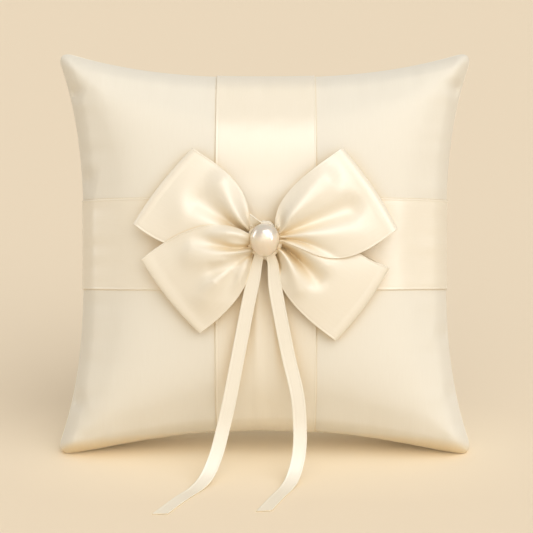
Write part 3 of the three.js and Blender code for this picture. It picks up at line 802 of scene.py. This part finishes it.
def add(tree, kind, inputs=None, **settings):
    """A shader node with its settings and inputs. An input is a value or another node's output."""
    made = tree.nodes.new("ShaderNode" + kind)
    for key, value in settings.items():
        setattr(made, key, value)
    fill_in(tree, made, inputs or {})
    return made


def colour_mix(tree, share, first, second, blend="MIX"):
    """The output of a node that mixes two colours. Each is a triple or another node's output."""
    mixer = add(tree, "Mix", data_type="RGBA", blend_type=blend)
    feed(tree, mixer.inputs[0], share)
    for socket, value in zip([s for s in mixer.inputs if s.type == "RGBA"], (first, second)):
        feed(tree, socket, (*value, 1) if isinstance(value, tuple) else value)
    return next(s for s in mixer.outputs if s.type == "RGBA")


def new_material(name):
    material = bpy.data.materials.new(name)
    material.use_nodes = True
    tree = material.node_tree
    return material, tree, tree.nodes["Principled BSDF"]


def satin(name, colour, shade, roughness, anisotropy, sheen, gloss):
    """Woven satin: long floats along the ribbon, faint streaks, a soft nap and uneven colour, with painted
    shade, darker and more yellow, in creases and where other parts lie close.
    """
    material, tree, shader = new_material(name)
    threads = add(tree, "UVMap", uv_map="threads").outputs["UV"]
    turned = add(tree, "Mapping", {"Vector": threads, "Rotation": (0, 0, math.pi / 2)}).outputs[0]
    floats = add(tree, "TexBrick", {
        "Vector": turned, "Scale": 1.0, "Brick Width": 1.5, "Row Height": 0.24,
        "Mortar Size": 0.03, "Mortar Smooth": 1.0, "Bias": 0.0,
    }, offset=0.38, offset_frequency=2)
    stretched = add(tree, "Mapping", {"Vector": threads, "Scale": (2.4, 0.09, 1)}).outputs[0]
    streaks = add(tree, "TexNoise", {"Vector": stretched, "Scale": 1.0, "Detail": 3.0}).outputs[0]
    place_node = add(tree, "TexCoord").outputs["Object"]
    clouds = add(tree, "TexNoise", {"Vector": place_node, "Scale": 16.0, "Detail": 2.0}).outputs[0]
    uneven = add(tree, "Math", {0: streaks, 1: clouds}, operation="ADD").outputs[0]
    share = add(tree, "MapRange", {"Value": uneven, "From Min": 0.7, "From Max": 1.3}).outputs[0]
    cloth = colour_mix(tree, share, shade, colour)
    # Painted shade: the colour turns darker and more yellow where ambient occlusion finds other surfaces
    # close by, in creases and under other parts.
    open_share = add(tree, "AmbientOcclusion", {"Distance": 14 * MM}).outputs["AO"]
    openness = add(tree, "MapRange", {"Value": open_share, "From Min": 0.25, "From Max": 0.9}).outputs[0]
    painted_crease_shade = colour_mix(tree, openness, (1.0, 0.87, 0.66), (1.0, 1.0, 1.0))
    tint = colour_mix(tree, 1.0, cloth, painted_crease_shade, "MULTIPLY")
    dull = add(tree, "MapRange", {
        "Value": streaks, "From Min": 0.3, "From Max": 0.7,
        "To Min": roughness + 0.02, "To Max": roughness - 0.02,
    }).outputs[0]
    weave = add(tree, "Math", {0: floats.outputs["Fac"], 1: -1.0}, operation="MULTIPLY").outputs[0]
    relief = add(tree, "Math", {0: weave, 1: streaks}, operation="ADD").outputs[0]
    bumps = add(tree, "Bump", {"Height": relief, "Strength": 0.35, "Distance": 0.03 * MM}).outputs[0]
    tangent = add(tree, "Tangent", direction_type="UV_MAP", uv_map="threads").outputs[0]
    fill_in(tree, shader, {
        "Base Color": tint, "Roughness": dull, "Normal": bumps, "Tangent": tangent,
        "Anisotropic": anisotropy, "Sheen Weight": sheen, "Sheen Roughness": 0.4,
        "Sheen Tint": (1.0, 0.97, 0.9, 1), "Specular IOR Level": gloss,
    })
    return material


def nacre():
    """Pearl under a clear glossy coat, its colour a painted reflection: greyer where it faces up and a
    yellowish tan on its sides and below, with faint random clouding.
    """
    material, tree, shader = new_material("pearl_nacre")
    normal = add(tree, "TexCoord").outputs["Normal"]
    height = add(tree, "SeparateXYZ", {0: normal}).outputs["Z"]
    place_node = add(tree, "TexCoord").outputs["Object"]
    cloudy = add(tree, "TexNoise", {"Vector": place_node, "Scale": 220.0, "Detail": 2.0}).outputs[0]
    wavy = add(tree, "Math", {0: cloudy, 1: 0.35, 2: height}, operation="MULTIPLY_ADD").outputs[0]
    # Painted reflection: colour by how far the surface faces up, grey on top and yellowish tan on the
    # sides and below.
    painted_reflection_ramp = add(tree, "ValToRGB", {"Fac": wavy})
    stops = ((0.0, (0.76, 0.65, 0.51, 1)), (0.42, (0.78, 0.69, 0.56, 1)), (0.66, (0.58, 0.53, 0.46, 1)))
    for at, colour in stops[1:]:
        painted_reflection_ramp.color_ramp.elements.new(at).color = colour
    painted_reflection_ramp.color_ramp.elements[0].color = stops[0][1]
    painted_reflection_ramp.color_ramp.elements[-1].color = (0.58, 0.54, 0.48, 1)
    pits = add(tree, "TexNoise", {"Vector": place_node, "Scale": 900.0, "Detail": 1.0}).outputs[0]
    bumps = add(tree, "Bump", {"Height": pits, "Strength": 0.06, "Distance": 0.05 * MM}).outputs[0]
    fill_in(tree, shader, {
        "Base Color": painted_reflection_ramp.outputs["Color"], "Roughness": 0.34, "Metallic": 0.15, "Normal": bumps,
        "Coat Weight": 1.0, "Coat Roughness": 0.06, "Coat IOR": 2.2, "Subsurface Weight": 0.1,
        "Subsurface Scale": 2 * MM,
    })
    return material


def spun_thread(name, colour):
    """Sewing thread: fine twisted strands."""
    material, tree, shader = new_material(name)
    place_node = add(tree, "TexCoord").outputs["Object"]
    twist = add(tree, "TexWave", {"Vector": place_node, "Scale": 900.0, "Distortion": 2.0})
    bumps = add(tree, "Bump", {"Height": twist.outputs[1], "Strength": 0.5, "Distance": 0.04 * MM})
    fill_in(tree, shader, {
        "Base Color": (*colour, 1), "Roughness": 0.6, "Sheen Weight": 0.3, "Normal": bumps.outputs[0],
    })
    return material


def backdrop(colour, shaded):
    """Matte painted floor, with a lighter colour where little light comes in."""
    material, tree, shader = new_material("backdrop")
    place_node = add(tree, "TexCoord").outputs["Object"]
    grain = add(tree, "TexNoise", {"Vector": place_node, "Scale": 300.0, "Detail": 3.0}).outputs[0]
    bumps = add(tree, "Bump", {"Height": grain, "Strength": 0.1, "Distance": 0.1 * MM}).outputs[0]
    open_share = add(tree, "AmbientOcclusion", {"Distance": 60 * MM}).outputs["AO"]
    tint = colour_mix(tree, open_share, shaded, colour)
    fill_in(tree, shader, {
        "Base Color": tint, "Roughness": 0.9, "Specular IOR Level": 0.0, "Normal": bumps,
    })
    return material


def dress(piece, material, slot, *nodes):
    """Gives a piece its material and hides the parts of the plain model that it stands for."""
    piece.data.materials.clear()
    piece.data.materials.append(material)
    if nodes:
        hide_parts(*nodes)


RIBBON_SATIN = satin("ribbon_satin_weave", (0.785, 0.74, 0.645), (0.77, 0.72, 0.615), 0.34, 0.4, 0.1, 0.8)
# Painted light: a lighter copy of the ribbon satin for the tie ribbon, standing in for the light that its
# tails catch.
TIE_SATIN_PAINTED_LIGHTER = satin("tie_satin_painted_lighter", (0.81, 0.775, 0.695), (0.79, 0.755, 0.665), 0.34, 0.4, 0.1, 0.8)
COVER_SATIN = satin("cover_satin_weave", (0.75, 0.725, 0.655), (0.735, 0.705, 0.63), 0.6, 0.2, 0.25, 0.35)
THREAD = spun_thread("spun_thread", (0.93, 0.87, 0.74))

# ---- The object ----
cover = cushion_cover()
dress(cover, COVER_SATIN, "cover_satin", "front_panel", "back_panel", "fibre_fill")
bands = [(horizontal_band(), "horizontal_band"), (vertical_band(), "vertical_band")]
for band, node in bands:
    dress(band, RIBBON_SATIN, "ribbon_satin", node)
waist = bow_waist()
dress(waist, RIBBON_SATIN, "ribbon_satin", "back_bow_gather", "front_bow_gather")
wrap = knot_wrap()
dress(wrap, TIE_SATIN_PAINTED_LIGHTER, "ribbon_satin", "tie_ribbon_knot")
tip = knot_tip()
dress(tip, TIE_SATIN_PAINTED_LIGHTER, "ribbon_satin", "knot_peak")
threads = (
    (closing_stitches(), "closing_stitch"),
    (tube("edge_seam", seam_line(0.998), THREAD_RADIUS["seam"]), "edge_seam_thread"),
    (pearl_hanger(), "pearl_thread"),
)
for thread, node in threads:
    dress(thread, THREAD, "thread", node)
    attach(thread, "cushion")
for piece in (cover, bands[0][0], bands[1][0], waist, wrap, tip):
    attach(piece, "cushion")

bead = pearl_bead()
dress(bead, nacre(), "pearl", "pearl")
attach(bead, "pearl")

bow_loops()
for side, points in TAILS.items():
    tail(side, points)

for node in ("gather_binding_thread", "bow_tack_thread"):
    thread = frame["nodes"][node]
    thread.data.materials.clear()
    thread.data.materials.append(THREAD)


# ---- Floor, light and camera ----
def floor():
    half = 12
    corners = np.array([(-half, -half, 0), (half, -half, 0), (half, half, 0), (-half, half, 0)], float)
    made = mesh_object("floor", corners, [range(4)])
    made.data.materials.append(backdrop((0.8, 0.7, 0.56), (1.0, 0.896, 0.7056)))


def aimed(light, across, above, away):
    """Puts a light that far away, so many degrees to the right and above level, facing the bow."""
    across, above = math.radians(across), math.radians(above)
    level = math.cos(above)
    toward = Vector((math.sin(across) * level, -math.cos(across) * level, math.sin(above)))
    light.location = Vector(MIDDLE) + away * toward
    light.rotation_euler = toward.to_track_quat("Z", "Y").to_euler()
    bpy.context.scene.collection.objects.link(light)


def sun(name, across, above, energy, spread, colour, shadow=True):
    data = bpy.data.lights.new(name, "SUN")
    data.use_shadow = shadow
    data.energy = energy
    data.angle = math.radians(spread)
    data.color = colour
    aimed(bpy.data.objects.new(name, data), across, above, 2)


def softbox(name, across, above, size, brightness):
    """A light that is only seen mirrored in glossy surfaces."""
    data = bpy.data.lights.new(name, "AREA")
    data.shape = "RECTANGLE"
    data.size, data.size_y = size
    data.energy = brightness * math.pi * size[0] * size[1]
    light = bpy.data.objects.new(name, data)
    light.visible_diffuse = False
    aimed(light, across, above, 1.6)


def world():
    made = bpy.data.worlds.new("studio")
    made.use_nodes = True
    background = made.node_tree.nodes["Background"]
    background.inputs["Color"].default_value = (1.0, 0.94, 0.85, 1)
    background.inputs["Strength"].default_value = 0.64
    bpy.context.scene.world = made


def camera():
    """Square on to the cushion's face, a long lens away, aimed a little below its middle."""
    away, field = 1100, 266.5
    data = bpy.data.cameras.new("camera")
    data.sensor_width = 36
    data.lens = data.sensor_width * away / field
    eye = bpy.data.objects.new("camera", data)
    axes = np.array([RIGHT, UPWARD, -BACKWARD]).T
    eye.matrix_world = Matrix.Translation(place((0.85, away, -6.75))) @ Matrix(axes.tolist()).to_4x4()
    bpy.context.scene.collection.objects.link(eye)
    bpy.context.scene.camera = eye


floor()
sun("key", 43, 44, 1.0, 60, (1.0, 0.99, 0.97))
sun("fill", 5, 6, 0.85, 90, (1.0, 0.88, 0.72))
sun("thrown_back", 5, 42, 0.52, 60, (1.0, 0.95, 0.86), shadow=False)
softbox("window", 18, 60, (1.3, 0.75), 2.0)
softbox("side_window", 57, 22, (0.3, 1.0), 7)
softbox("rim_window", -101, 20, (0.5, 0.9), 3)
world()
camera()
bpy.context.scene.view_settings.view_transform = "Standard"
